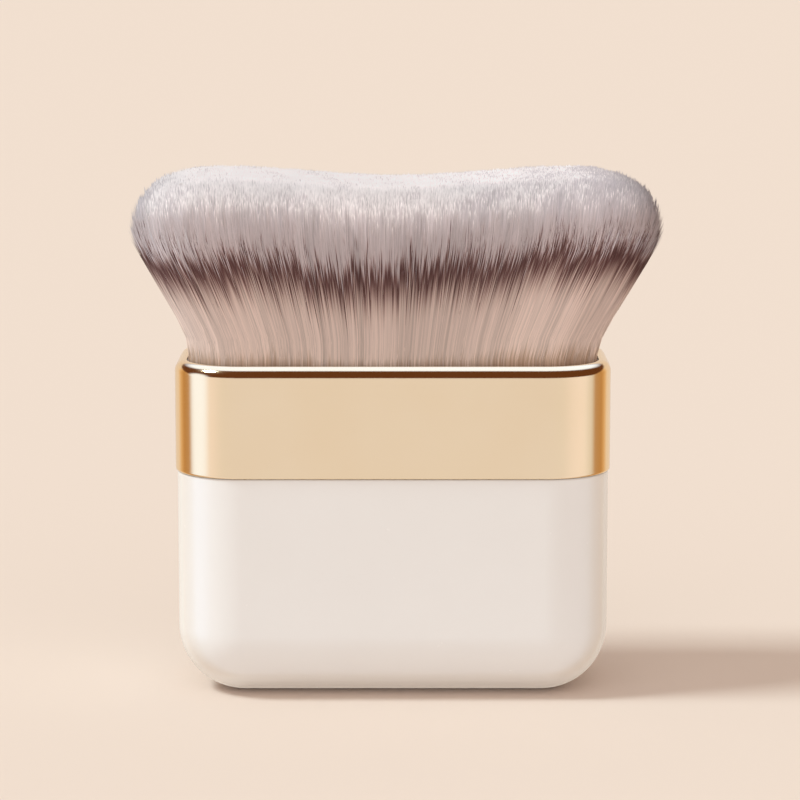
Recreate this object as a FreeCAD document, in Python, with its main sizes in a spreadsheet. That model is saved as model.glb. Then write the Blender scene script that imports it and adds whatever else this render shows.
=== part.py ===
import FreeCAD, Part
import math
import os

import Sketcher
from FreeCAD import Vector

# Short-handled kabuki makeup brush, standing on its handle.
# Millimetres, +Z up, origin under the middle of the base, front of the brush towards -Y.

doc = FreeCAD.newDocument("kabuki_brush")

# Driving sizes, one cell each.
SIZES = {
    # moulded handle: upright edges and edges under the base all have one soft rounding
    "handle_width": 60.0,
    "handle_depth": 30.0,
    "handle_height": 31.2,
    "edge_radius": 9.2,
    "handle_wall": 2.4,
    "floor_corner_radius": 1.2,
    # gold ferrule with a lip rolled inwards at the mouth
    "ferrule_proud": 0.25,
    "ferrule_height": 15.4,
    "ferrule_wall": 0.9,
    "lip_bend_radius": 0.6,
    "lip_land": 0.15,
    # plug that joins the handle to the ferrule
    "fit_clearance": 0.1,
    "plug_insert": 8.0,
    "plug_spigot": 3.0,
    "plug_wall": 1.8,
    "plug_deck": 1.8,
    "plug_rib": 1.2,
    "snap_length": 24.0,
    "snap_height": 0.45,
    "snap_foot": 2.0,
    "snap_drop": 4.5,
    # balance weight, its adhesive pad, and the moulded seat and fence that hold them
    "weight_width": 36.0,
    "weight_depth": 12.0,
    "weight_height": 10.0,
    "weight_chamfer": 0.8,
    "weight_clearance": 0.3,
    "pad_thickness": 1.0,
    "seat_rise": 2.0,
    "fence_wall": 1.2,
    "fence_height": 5.0,
    # cup, resin and band that hold the fibre roots
    "cup_ledge": 0.2,
    "cup_floor": 1.4,
    "resin_depth": 2.0,
    "band_height": 3.5,
    "band_thickness": 0.5,
    # fibre bundle: straight roots, a flare, then a crown trimmed to two shoulders with a shallow saddle
    "fibre_clearance": 0.1,
    "flare_start": 1.2,
    "flare_spread_side": 13.3,
    "flare_spread_front": 6.6,
    "tuft_height": 25.7,
    "crown_overhang_side": 6.8,
    "crown_overhang_front": 2.3,
    "crown_edge_radius": 6.7,
    "crest_corner_radius": 3.7,
    "crest_margin": 0.3,
    "trim_allowance": 1.0,
    "shoulder_inset": 12.5,
    "shoulder_overrun": 7.5,
    "saddle_dip": 1.3,
}

# Worked-out sizes: what seats in, on or round another piece follows from the driving sizes.
FITS = {
    "rim_width": "sizes.handle_width - 2 * sizes.handle_wall",
    "rim_depth": "sizes.handle_depth - 2 * sizes.handle_wall",
    "rim_corner": "sizes.edge_radius - sizes.handle_wall",
    "floor_bevel": "rim_corner - sizes.floor_corner_radius",
    "pad_bottom": "sizes.handle_wall + sizes.seat_rise",
    "weight_bottom": "pad_bottom + sizes.pad_thickness",
    "fence_width": "sizes.weight_width + 2 * sizes.weight_clearance",
    "fence_depth": "sizes.weight_depth + 2 * sizes.weight_clearance",
    "seat_width": "fence_width + 2 * sizes.fence_wall",
    "seat_depth": "fence_depth + 2 * sizes.fence_wall",
    "ferrule_width": "sizes.handle_width + 2 * sizes.ferrule_proud",
    "ferrule_depth": "sizes.handle_depth + 2 * sizes.ferrule_proud",
    "ferrule_corner": "sizes.edge_radius + sizes.ferrule_proud",
    "ferrule_top": "sizes.handle_height + sizes.ferrule_height",
    "lip_underside": "ferrule_top - sizes.ferrule_wall",
    "lip_radius": "sizes.ferrule_wall + sizes.lip_bend_radius",
    "lip_overhang": "sizes.lip_bend_radius + sizes.lip_land",
    "cavity_width": "ferrule_width - 2 * sizes.ferrule_wall",
    "cavity_depth": "ferrule_depth - 2 * sizes.ferrule_wall",
    "cavity_corner": "ferrule_corner - sizes.ferrule_wall",
    "mouth_width": "cavity_width - 2 * lip_overhang",
    "mouth_depth": "cavity_depth - 2 * lip_overhang",
    "mouth_corner": "cavity_corner - lip_overhang",
    "plug_bottom": "sizes.handle_height - sizes.plug_insert",
    "insert_width": "rim_width - 2 * sizes.fit_clearance",
    "insert_depth": "rim_depth - 2 * sizes.fit_clearance",
    "insert_corner": "rim_corner - sizes.fit_clearance",
    "core_width": "insert_width - 2 * sizes.plug_wall",
    "core_depth": "insert_depth - 2 * sizes.plug_wall",
    "core_corner": "insert_corner - sizes.plug_wall",
    "plug_top": "sizes.handle_height + sizes.plug_spigot",
    "core_top": "plug_top - sizes.plug_deck",
    "snap_middle": "sizes.handle_height - sizes.snap_drop",
    "cup_width": "cavity_width - 2 * sizes.fit_clearance",
    "cup_depth": "cavity_depth - 2 * sizes.fit_clearance",
    "cup_corner": "cavity_corner - sizes.fit_clearance",
    "well_width": "mouth_width - 2 * sizes.cup_ledge",
    "well_depth": "mouth_depth - 2 * sizes.cup_ledge",
    "well_corner": "mouth_corner - sizes.cup_ledge",
    "well_floor": "plug_top + sizes.cup_floor",
    "root_bottom": "well_floor + sizes.resin_depth",
    "band_top": "root_bottom + sizes.band_height",
    "tuft_width": "well_width - 2 * sizes.fibre_clearance",
    "tuft_depth": "well_depth - 2 * sizes.fibre_clearance",
    "tuft_corner": "well_corner - sizes.fibre_clearance",
    "root_width": "tuft_width - 2 * sizes.band_thickness",
    "root_depth": "tuft_depth - 2 * sizes.band_thickness",
    "root_corner": "tuft_corner - sizes.band_thickness",
    "flare_bottom": "ferrule_top + sizes.flare_start",
    "flare_top_width": "tuft_width + 2 * sizes.flare_spread_side",
    "flare_top_depth": "tuft_depth + 2 * sizes.flare_spread_front",
    "crown_width": "ferrule_width + 2 * sizes.crown_overhang_side",
    "crown_depth": "ferrule_depth + 2 * sizes.crown_overhang_front",
    "crown_corner": "sizes.crown_edge_radius + sizes.crest_corner_radius",
    "shoulder_level": "ferrule_top + sizes.tuft_height",
    "crest_level": "shoulder_level + sizes.crest_margin",
    "trim_level": "crest_level + sizes.trim_allowance",
    "trim_depth": "crown_depth + 2 * sizes.trim_allowance",
    "shoulder_spacing": "crown_width - 2 * sizes.shoulder_inset",
    "shoulder_radius": "sizes.shoulder_inset + sizes.shoulder_overrun",
    "shoulder_centre": "shoulder_level - shoulder_radius",
    "saddle_radius": "((shoulder_spacing / 2)^2 + sizes.saddle_dip^2) / (2 * sizes.saddle_dip)"
                     " - shoulder_radius",
}


def make_sheet(name, cells, sign=""):
    """A sheet with one named cell to a row; the sign makes each cell a formula."""
    sheet = doc.addObject("Spreadsheet::Sheet", name)
    for row, (alias, content) in enumerate(cells.items(), 1):
        sheet.set(f"A{row}", alias)
        sheet.set(f"B{row}", f"{sign}{content}")
        sheet.setAlias(f"B{row}", alias)
    doc.recompute()
    return sheet


sizes = make_sheet("sizes", SIZES)
fits = make_sheet("fits", FITS, sign="=")


def number(expression):
    """The present value of an expression on the two sheets."""
    return float(sizes.evalExpression(expression))


def new_body(name):
    return doc.addObject("PartDesign::Body", name)


def new_sketch(body, name, plane, height=None):
    """A sketch on one of the body's own origin planes, raised by an expression."""
    sketch = body.newObject("Sketcher::SketchObject", name)
    origin_plane = next(f for f in body.Origin.OriginFeatures if f.Role == plane)
    sketch.AttachmentSupport = [(origin_plane, "")]
    sketch.MapMode = "FlatFace"
    if height:
        sketch.setExpression("AttachmentOffset.Base.z", height)
    return sketch


def dimension(sketch, name, expression, kind, *where):
    """A named sketch dimension that follows an expression."""
    index = sketch.addConstraint(Sketcher.Constraint(kind, *where, number(expression)))
    sketch.renameConstraint(index, name)
    sketch.setExpression(f"Constraints.{name}", expression)


def add_arc(sketch, x, y, radius, start, end):
    circle = Part.Circle(Vector(x, y, 0), Vector(0, 0, 1), radius)
    sketch.addGeometry(Part.ArcOfCircle(circle, math.radians(start), math.radians(end)))


def add_line(sketch, x0, y0, x1, y1):
    sketch.addGeometry(Part.LineSegment(Vector(x0, y0, 0), Vector(x1, y1, 0)))


def square_up(sketch, across, upright):
    """Keeps some lines of a sketch horizontal and others vertical."""
    for line in across:
        sketch.addConstraint(Sketcher.Constraint("Horizontal", line))
    for line in upright:
        sketch.addConstraint(Sketcher.Constraint("Vertical", line))


def rounded_loop(sketch, label, width, depth, radius):
    """A rectangle with rounded corners, centred on the sketch's origin."""
    half_x = number(width) / 2
    half_y = number(depth) / 2
    r = number(radius)
    first = sketch.GeometryCount
    add_line(sketch, r - half_x, -half_y, half_x - r, -half_y)
    add_arc(sketch, half_x - r, r - half_y, r, -90, 0)
    add_line(sketch, half_x, r - half_y, half_x, half_y - r)
    add_arc(sketch, half_x - r, half_y - r, r, 0, 90)
    add_line(sketch, half_x - r, half_y, r - half_x, half_y)
    add_arc(sketch, r - half_x, half_y - r, r, 90, 180)
    add_line(sketch, -half_x, half_y - r, -half_x, r - half_y)
    add_arc(sketch, r - half_x, r - half_y, r, 180, 270)
    front, corner, right, _, back, far_corner, left, _ = range(first, first + 8)
    for step in range(8):
        here, following = first + step, first + (step + 1) % 8
        sketch.addConstraint(Sketcher.Constraint("Tangent", here, 2, following, 1))
    square_up(sketch, (front, back), (right, left))
    for arc in (corner + 2, far_corner, far_corner + 2):
        sketch.addConstraint(Sketcher.Constraint("Equal", corner, arc))
    sketch.addConstraint(Sketcher.Constraint("Symmetric", corner, 3, far_corner, 3, -1, 1))
    dimension(sketch, f"{label}_width", width, "DistanceX", left, 1, right, 1)
    dimension(sketch, f"{label}_depth", depth, "DistanceY", front, 1, back, 1)
    dimension(sketch, f"{label}_corner", radius, "Radius", corner)


def rectangle_loop(sketch, label, width, depth):
    """A plain rectangle, centred on the sketch's origin."""
    half_x = number(width) / 2
    half_y = number(depth) / 2
    first = sketch.GeometryCount
    corners = [(-half_x, -half_y), (half_x, -half_y), (half_x, half_y), (-half_x, half_y)]
    for start, end in zip(corners, corners[1:] + corners[:1]):
        add_line(sketch, *start, *end)
    front, right, back, left = range(first, first + 4)
    for here, following in ((front, right), (right, back), (back, left), (left, front)):
        sketch.addConstraint(Sketcher.Constraint("Coincident", here, 2, following, 1))
    square_up(sketch, (front, back), (right, left))
    sketch.addConstraint(Sketcher.Constraint("Symmetric", front, 1, back, 1, -1, 1))
    dimension(sketch, f"{label}_width", width, "DistanceX", front, 1, front, 2)
    dimension(sketch, f"{label}_depth", depth, "DistanceY", right, 1, right, 2)


def add_pad(body, sketch, name, length, symmetric=False):
    pad = body.newObject("PartDesign::Pad", name)
    pad.Profile = sketch
    pad.setExpression("Length", length)
    if symmetric:
        pad.SideType = "Symmetric"
    return pad


def add_pocket(body, sketch, name, length, symmetric=False, upwards=False):
    pocket = body.newObject("PartDesign::Pocket", name)
    pocket.Profile = sketch
    pocket.setExpression("Length", length)
    pocket.Reversed = upwards
    if symmetric:
        pocket.SideType = "Symmetric"
    return pocket


def rounded_pad(body, name, width, depth, radius, bottom, height):
    """An upright block with rounded corners."""
    sketch = new_sketch(body, f"{name}_outline", "XY_Plane", bottom)
    rounded_loop(sketch, name, width, depth, radius)
    return add_pad(body, sketch, name, height)


def rounded_pocket(body, name, width, depth, radius, bottom, height):
    """An upright hollow with rounded corners, cut upwards from its lower end."""
    sketch = new_sketch(body, f"{name}_outline", "XY_Plane", bottom)
    rounded_loop(sketch, name, width, depth, radius)
    return add_pocket(body, sketch, name, height, upwards=True)


def edges_at(shape, level, beyond_x=0, beyond_y=0):
    """Names of the edges that lie at one level and reach beyond a half width or a half depth."""
    names = []
    for index, edge in enumerate(shape.Edges, 1):
        points = [vertex.Point for vertex in edge.Vertexes]
        at_level = all(math.isclose(point.z, level, abs_tol=1e-6) for point in points)
        is_beyond = any(abs(point.x) > beyond_x or abs(point.y) > beyond_y for point in points)
        if at_level and is_beyond:
            names.append(f"Edge{index}")
    return names


def ring_edges(shape, level, outer, inner):
    """The outer of two rings of edges at one level, each ring given by its name on the sheet."""
    beyond_x = number(f"(fits.{outer}_width + fits.{inner}_width) / 4")
    beyond_y = number(f"(fits.{outer}_depth + fits.{inner}_depth) / 4")
    return edges_at(shape, number(level), beyond_x, beyond_y)


def dress_edges(body, kind, name, base, edges, size_name, size):
    """A fillet or a chamfer on some edges of a feature."""
    dressing = body.newObject(f"PartDesign::{kind}", name)
    dressing.Base = (base, edges)
    dressing.setExpression(size_name, size)
    return dressing


# Handle shell: one gloss moulding, open at the top. Its outside is a block with every edge below the rim
# rounded off; its hollow has upright walls and a bevelled floor inside that rounding.
outside = new_body("outside")
base_outline = new_sketch(outside, "base_outline", "XY_Plane")
rectangle_loop(base_outline, "base", "sizes.handle_width", "sizes.handle_depth")
block = add_pad(outside, base_outline, "block", "sizes.handle_height")
doc.recompute()
rim_edges = edges_at(block.Shape, number("sizes.handle_height"))
all_edges = [f"Edge{index}" for index in range(1, len(block.Shape.Edges) + 1)]
soft_edges = [name for name in all_edges if name not in rim_edges]
dress_edges(outside, "Fillet", "soft_edge", block, soft_edges, "Radius", "sizes.edge_radius")

hollow = new_body("hollow")
hollow_block = rounded_pad(hollow, "hollow_block", "fits.rim_width", "fits.rim_depth", "fits.rim_corner",
                           "sizes.handle_wall", "sizes.handle_height - sizes.handle_wall")
doc.recompute()
dress_edges(hollow, "Chamfer", "floor_bevel", hollow_block,
            edges_at(hollow_block.Shape, number("sizes.handle_wall")), "Size", "fits.floor_bevel")
shell = doc.addObject("Part::Cut", "shell")
shell.Base = outside
shell.Tool = hollow
doc.recompute()


def snap_loops(sketch, grow):
    """Two sloped ridges across the front and back walls, seen from the end of the handle."""
    for side, label in ((-1, "front"), (1, "back")):
        wall = number("fits.insert_depth") / 2
        tip = number(f"sizes.snap_height + {grow}")
        foot = number(f"sizes.snap_foot / 2 + {grow}")
        middle = number("fits.snap_middle")
        first = sketch.GeometryCount
        corners = [(side * wall, middle - foot), (side * (wall + tip), middle), (side * wall, middle + foot)]
        for start, end in zip(corners, corners[1:] + corners[:1]):
            add_line(sketch, *start, *end)
        lower, upper, base = range(first, first + 3)
        for here, following in ((lower, upper), (upper, base), (base, lower)):
            sketch.addConstraint(Sketcher.Constraint("Coincident", here, 2, following, 1))
        sketch.addConstraint(Sketcher.Constraint("Vertical", base))
        sketch.addConstraint(Sketcher.Constraint("Equal", lower, upper))
        outward = ((-1, 1), (lower, 2)) if side > 0 else ((lower, 2), (-1, 1))
        inward = ((-1, 1), (lower, 1)) if side > 0 else ((lower, 1), (-1, 1))
        dimension(sketch, f"{label}_wall", "fits.insert_depth / 2", "DistanceX", *inward[0], *inward[1])
        dimension(sketch, f"{label}_tip", f"fits.insert_depth / 2 + sizes.snap_height + {grow}",
                  "DistanceX", *outward[0], *outward[1])
        dimension(sketch, f"{label}_level", "fits.snap_middle", "DistanceY", -1, 1, lower, 2)
        dimension(sketch, f"{label}_foot", f"sizes.snap_foot + 2 * {grow}", "DistanceY", lower, 1, upper, 2)


handle_shell = new_body("handle_shell")
handle_shell.BaseFeature = shell
doc.recompute()
grooves = new_sketch(handle_shell, "snap_grooves_profile", "YZ_Plane")
snap_loops(grooves, "sizes.fit_clearance")
add_pocket(handle_shell, grooves, "snap_grooves", "sizes.snap_length + 2 * sizes.fit_clearance",
           symmetric=True)
seat = new_sketch(handle_shell, "weight_seat_outline", "XY_Plane", "sizes.handle_wall")
rectangle_loop(seat, "seat", "fits.seat_width", "fits.seat_depth")
add_pad(handle_shell, seat, "weight_seat", "sizes.seat_rise")
fence = new_sketch(handle_shell, "weight_fence_outline", "XY_Plane", "fits.pad_bottom")
rectangle_loop(fence, "outer", "fits.seat_width", "fits.seat_depth")
rectangle_loop(fence, "inner", "fits.fence_width", "fits.fence_depth")
add_pad(handle_shell, fence, "weight_fence", "sizes.fence_height")

# Adhesive foam pad that holds the weight to its seat.
weight_pad = new_body("weight_pad")
pad_outline = new_sketch(weight_pad, "pad_outline", "XY_Plane", "fits.pad_bottom")
rectangle_loop(pad_outline, "pad", "sizes.weight_width", "sizes.weight_depth")
add_pad(weight_pad, pad_outline, "foam", "sizes.pad_thickness")

# Balance weight: a steel bar with its edges broken.
balance_weight = new_body("balance_weight")
bar_outline = new_sketch(balance_weight, "bar_outline", "XY_Plane", "fits.weight_bottom")
rectangle_loop(bar_outline, "bar", "sizes.weight_width", "sizes.weight_depth")
bar = add_pad(balance_weight, bar_outline, "bar", "sizes.weight_height")
doc.recompute()
bar_edges = [f"Edge{index}" for index in range(1, len(bar.Shape.Edges) + 1)]
dress_edges(balance_weight, "Chamfer", "broken_edges", bar, bar_edges, "Size", "sizes.weight_chamfer")

# Handle plug: a hollow moulding that presses into the handle and carries the ferrule.
handle_plug = new_body("handle_plug")
rounded_pad(handle_plug, "insert", "fits.insert_width", "fits.insert_depth", "fits.insert_corner",
            "fits.plug_bottom", "sizes.plug_insert")
rounded_pad(handle_plug, "spigot", "fits.cup_width", "fits.cup_depth", "fits.cup_corner",
            "sizes.handle_height", "sizes.plug_spigot")
rounded_pocket(handle_plug, "core", "fits.core_width", "fits.core_depth", "fits.core_corner",
               "fits.plug_bottom", "fits.core_top - fits.plug_bottom")
ridges = new_sketch(handle_plug, "snap_ridges_profile", "YZ_Plane")
snap_loops(ridges, "0")
add_pad(handle_plug, ridges, "snap_ridges", "sizes.snap_length", symmetric=True)
cross_rib = new_sketch(handle_plug, "cross_rib_outline", "XY_Plane", "fits.plug_bottom")
rectangle_loop(cross_rib, "rib", "sizes.plug_rib", "fits.core_depth + sizes.plug_wall")
add_pad(handle_plug, cross_rib, "cross_rib", "sizes.plug_insert")
long_rib = new_sketch(handle_plug, "long_rib_outline", "XY_Plane", "fits.plug_bottom")
rectangle_loop(long_rib, "rib", "fits.core_width + sizes.plug_wall", "sizes.plug_rib")
add_pad(handle_plug, long_rib, "long_rib", "sizes.plug_insert")

# Gold ferrule: a thin drawn sleeve whose top rolls over into a lip round the mouth.
ferrule = new_body("ferrule")
rounded_pad(ferrule, "sleeve", "fits.ferrule_width", "fits.ferrule_depth", "fits.ferrule_corner",
            "sizes.handle_height", "sizes.ferrule_height")
rounded_pocket(ferrule, "cavity", "fits.cavity_width", "fits.cavity_depth", "fits.cavity_corner",
               "sizes.handle_height", "sizes.ferrule_height - sizes.ferrule_wall")
mouth = rounded_pocket(ferrule, "mouth", "fits.mouth_width", "fits.mouth_depth", "fits.mouth_corner",
                       "fits.lip_underside", "sizes.ferrule_wall")
doc.recompute()
lip_roll = dress_edges(ferrule, "Fillet", "lip_roll", mouth,
                       ring_edges(mouth.Shape, "fits.ferrule_top", "ferrule", "mouth"),
                       "Radius", "fits.lip_radius")
doc.recompute()
dress_edges(ferrule, "Chamfer", "lip_bend", lip_roll,
            ring_edges(lip_roll.Shape, "fits.lip_underside", "cavity", "mouth"),
            "Size", "sizes.lip_bend_radius")

# Tuft cup: a thin tray that fills the ferrule up to its lip, and that the fibre roots are set into.
tuft_cup = new_body("tuft_cup")
rounded_pad(tuft_cup, "tray", "fits.cup_width", "fits.cup_depth", "fits.cup_corner",
            "fits.plug_top", "fits.lip_underside - fits.plug_top")
well = rounded_pocket(tuft_cup, "well", "fits.well_width", "fits.well_depth", "fits.well_corner",
                      "fits.well_floor", "fits.lip_underside - fits.well_floor")
doc.recompute()
dress_edges(tuft_cup, "Chamfer", "cup_brim", well,
            ring_edges(well.Shape, "fits.lip_underside", "cup", "well"), "Size", "sizes.lip_bend_radius")

# Cured resin in the bottom of the cup.
root_resin = new_body("root_resin")
rounded_pad(root_resin, "resin", "fits.well_width", "fits.well_depth", "fits.well_corner",
            "fits.well_floor", "sizes.resin_depth")

# Band that binds the fibre roots into one bundle.
root_band = new_body("root_band")
rounded_pad(root_band, "band", "fits.tuft_width", "fits.tuft_depth", "fits.tuft_corner",
            "fits.root_bottom", "sizes.band_height")
rounded_pocket(root_band, "bundle", "fits.root_width", "fits.root_depth", "fits.root_corner",
               "fits.root_bottom", "sizes.band_height")

# Bristle tuft: the fibres fan out in a flare, within a crown whose upper edge is rounded off. The flare
# stands on bound roots and a straight stretch through the mouth, and its top is trimmed to a shallow saddle.
flare_form = new_body("flare_form")
flare = flare_form.newObject("PartDesign::AdditiveWedge", "flare")
flare.Placement = FreeCAD.Placement(Vector(0, 0, 0), FreeCAD.Rotation(Vector(1, 0, 0), 90))
FLARE_ENDS = {
    "Xmin": "-fits.tuft_width / 2",
    "Xmax": "fits.tuft_width / 2",
    "Zmin": "-fits.tuft_depth / 2",
    "Zmax": "fits.tuft_depth / 2",
    "Ymin": "fits.flare_bottom",
    "Ymax": "fits.trim_level",
    "X2min": "-fits.flare_top_width / 2",
    "X2max": "fits.flare_top_width / 2",
    "Z2min": "-fits.flare_top_depth / 2",
    "Z2max": "fits.flare_top_depth / 2",
}
for end, place in FLARE_ENDS.items():
    flare.setExpression(end, place)
doc.recompute()


def slanted_edges(shape, low, high):
    """Names of the edges that run from one level to another."""
    names = []
    for index, edge in enumerate(shape.Edges, 1):
        levels = sorted(vertex.Z for vertex in edge.Vertexes)
        if math.isclose(levels[0], low, abs_tol=1e-6) and math.isclose(levels[-1], high, abs_tol=1e-6):
            names.append(f"Edge{index}")
    return names


flare_edges = slanted_edges(flare.Shape, number("fits.flare_bottom"), number("fits.trim_level"))
dress_edges(flare_form, "Fillet", "flare_corners", flare, flare_edges, "Radius", "fits.tuft_corner")

crown_form = new_body("crown_form")
crown = rounded_pad(crown_form, "crown", "fits.crown_width", "fits.crown_depth", "fits.crown_corner",
                    "fits.ferrule_top", "fits.crest_level - fits.ferrule_top")
doc.recompute()
dress_edges(crown_form, "Fillet", "crown_edge", crown, edges_at(crown.Shape, number("fits.crest_level")),
            "Radius", "sizes.crown_edge_radius")
fan = doc.addObject("Part::Common", "fan")
fan.Base = flare_form
fan.Tool = crown_form
doc.recompute()

bristle_tuft = new_body("bristle_tuft")
bristle_tuft.BaseFeature = fan
doc.recompute()
rounded_pad(bristle_tuft, "straight_fibres", "fits.tuft_width", "fits.tuft_depth", "fits.tuft_corner",
            "fits.band_top", "fits.flare_bottom - fits.band_top")
rounded_pad(bristle_tuft, "bound_roots", "fits.root_width", "fits.root_depth", "fits.root_corner",
            "fits.root_bottom", "sizes.band_height")


def saddle_profile(sketch):
    """What the trim takes off, in front view: all above two shoulder arcs and a hollow arc between them."""
    shoulder_x = number("fits.shoulder_spacing / 2")
    shoulder_y = number("fits.shoulder_centre")
    shoulder_r = number("fits.shoulder_radius")
    saddle_r = number("fits.saddle_radius")
    saddle_y = number("fits.shoulder_level - sizes.saddle_dip") + saddle_r
    lean = math.degrees(math.asin(shoulder_x / (shoulder_r + saddle_r)))
    end_x = shoulder_x + shoulder_r
    lid = number("fits.trim_level")
    add_arc(sketch, shoulder_x, shoulder_y, shoulder_r, 0, 90 + lean)
    add_arc(sketch, 0, saddle_y, saddle_r, 270 - lean, 270 + lean)
    add_arc(sketch, -shoulder_x, shoulder_y, shoulder_r, 90 - lean, 180)
    add_line(sketch, -end_x, shoulder_y, -end_x, lid)
    add_line(sketch, -end_x, lid, end_x, lid)
    add_line(sketch, end_x, lid, end_x, shoulder_y)
    right_top, saddle, left_top, left_wall, top, right_wall = range(6)
    sketch.addConstraint(Sketcher.Constraint("Tangent", right_top, 2, saddle, 2))
    sketch.addConstraint(Sketcher.Constraint("Tangent", saddle, 1, left_top, 1))
    sketch.addConstraint(Sketcher.Constraint("Tangent", left_top, 2, left_wall, 1))
    sketch.addConstraint(Sketcher.Constraint("Coincident", left_wall, 2, top, 1))
    sketch.addConstraint(Sketcher.Constraint("Coincident", top, 2, right_wall, 1))
    sketch.addConstraint(Sketcher.Constraint("Tangent", right_wall, 2, right_top, 1))
    square_up(sketch, (top,), (left_wall, right_wall))
    sketch.addConstraint(Sketcher.Constraint("Symmetric", right_top, 3, left_top, 3, -2))
    dimension(sketch, "spacing", "fits.shoulder_spacing", "DistanceX", left_top, 3, right_top, 3)
    dimension(sketch, "centre_level", "fits.shoulder_centre", "DistanceY", -1, 1, right_top, 3)
    dimension(sketch, "shoulder", "fits.shoulder_radius", "Radius", right_top)
    dimension(sketch, "saddle", "fits.saddle_radius", "Radius", saddle)
    dimension(sketch, "lid_level", "fits.trim_level", "DistanceY", -1, 1, top, 1)


trim = new_sketch(bristle_tuft, "saddle_profile", "XZ_Plane")
saddle_profile(trim)
add_pocket(bristle_tuft, trim, "saddle", "fits.trim_depth", symmetric=True)
doc.recompute()

SUB_PARTS = (handle_shell, weight_pad, balance_weight, handle_plug, ferrule, tuft_cup, root_resin, root_band,
             bristle_tuft)

for item in doc.Objects:
    if "Invalid" in item.State or "Error" in item.State:
        raise RuntimeError(f"{item.Name} failed: {item.State}")
for part in SUB_PARTS:
    if part.Shape.isNull() or not part.Shape.isValid():
        raise RuntimeError(f"{part.Label} has no valid shape")

os.makedirs("parts", exist_ok=True)
for part in SUB_PARTS:
    part.Shape.exportStep(f"parts/{part.Label}.step")
    print(part.Label, len(part.Shape.Solids), round(part.Shape.Volume, 1), part.Shape.BoundBox)
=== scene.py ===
import math

import bmesh
import bpy
import numpy as np
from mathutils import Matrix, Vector


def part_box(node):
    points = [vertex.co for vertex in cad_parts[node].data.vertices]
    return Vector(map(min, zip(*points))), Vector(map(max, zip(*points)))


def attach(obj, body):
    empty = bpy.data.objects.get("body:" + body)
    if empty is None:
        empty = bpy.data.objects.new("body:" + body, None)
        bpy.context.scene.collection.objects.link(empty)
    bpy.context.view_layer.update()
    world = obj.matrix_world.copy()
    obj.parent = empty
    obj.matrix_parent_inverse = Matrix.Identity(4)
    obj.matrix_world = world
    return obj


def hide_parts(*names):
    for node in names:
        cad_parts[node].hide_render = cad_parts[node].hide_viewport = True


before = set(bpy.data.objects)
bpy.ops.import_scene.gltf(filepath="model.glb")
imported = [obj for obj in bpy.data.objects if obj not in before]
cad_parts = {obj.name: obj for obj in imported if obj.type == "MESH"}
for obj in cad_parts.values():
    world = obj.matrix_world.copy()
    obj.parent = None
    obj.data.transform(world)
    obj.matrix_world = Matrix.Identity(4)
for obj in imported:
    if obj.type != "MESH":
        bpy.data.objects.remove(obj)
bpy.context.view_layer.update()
scene = bpy.context.scene

# Handle shell: the short rounded grip, one gloss white moulding in hard plastic.
# It is moulded hollow, with a fenced seat for the balance weight on its floor, and polished on the outside.
MM = 0.001
TINY = 1e-6
HANDLE_EDGE = 9.2 * MM
HANDLE_EDGE_FACETS = 16
HANDLE_WALL = 2.4 * MM
HANDLE_FLOOR_ROUND = 5.6 * MM
HANDLE_FLOOR_FACETS = 6
RIM_BREAK = 0.3 * MM
RIM_FACETS = 3
WEIGHT_ROOM = 0.3 * MM
FENCE_WALL = 1.2 * MM
FENCE_RISE = 5.0 * MM
WHITE_PALE = (0.87, 0.86, 0.85)
WHITE_DEEP = (0.84, 0.825, 0.81)
CRISP_ANGLE = math.radians(40)
MOTTLE_DETAIL = 3
GRAIN_DETAIL = 4
RELIEF_STRENGTH = 0.3
handle_low, handle_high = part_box("handle_shell")


def block(low, high):
    """A box between two corners, to be worked on."""
    bm = bmesh.new()
    bmesh.ops.create_cube(bm, size=1)
    bmesh.ops.scale(bm, vec=high - low, verts=bm.verts)
    bmesh.ops.translate(bm, vec=(low + high) / 2, verts=bm.verts)
    return bm


def level_edges(bm, level):
    """The edges that lie at one height."""
    return [e for e in bm.edges if all(abs(v.co.z - level) < TINY for v in e.verts)]


def level_face(bm, level):
    """The largest face at one height."""
    flat = [f for f in bm.faces if all(abs(v.co.z - level) < TINY for v in f.verts)]
    return max(flat, key=lambda f: f.calc_area())


def round_off(bm, edges, radius, facets):
    """Rounds some edges with a number of facets."""
    bmesh.ops.bevel(bm, geom=edges, offset=radius, offset_type="OFFSET", affect="EDGES", segments=facets,
                    profile=0.5, material=-1, clamp_overlap=False)


def push(bm, face, rise):
    """Draws one face up or down, with new walls behind it and nothing left in its old place."""
    made = bmesh.ops.extrude_face_region(bm, geom=[face])["geom"]
    verts = [item for item in made if isinstance(item, bmesh.types.BMVert)]
    bmesh.ops.translate(bm, vec=(0, 0, rise), verts=verts)
    bmesh.ops.delete(bm, geom=[face], context="FACES_ONLY")


def take_in(bm, other):
    """Adds the shape of another mesh."""
    mesh = bpy.data.meshes.new("taken_in")
    other.to_mesh(mesh)
    other.free()
    bm.from_mesh(mesh)
    bpy.data.meshes.remove(mesh)


def set_piece(name, mesh, material, slot, *nodes):
    """Puts a finished mesh in the scene as a piece of the brush."""
    mesh.materials.append(material)
    piece = bpy.data.objects.new(name, mesh)
    scene.collection.objects.link(piece)
    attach(piece, "root")
    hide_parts(*nodes)
    return piece


def hard_piece(name, bm, material, slot, *nodes):
    """A rigid piece: smooth on its roundings, flat on its flats, crisp where walls meet."""
    bmesh.ops.recalc_face_normals(bm, faces=bm.faces)
    mesh = bpy.data.meshes.new(name)
    bm.to_mesh(mesh)
    bm.free()
    mesh.shade_smooth()
    mesh.set_sharp_from_angle(angle=CRISP_ANGLE)
    piece = set_piece(name, mesh, material, slot, *nodes)
    flats = piece.modifiers.new("flats", "WEIGHTED_NORMAL")
    flats.keep_sharp = True


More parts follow.
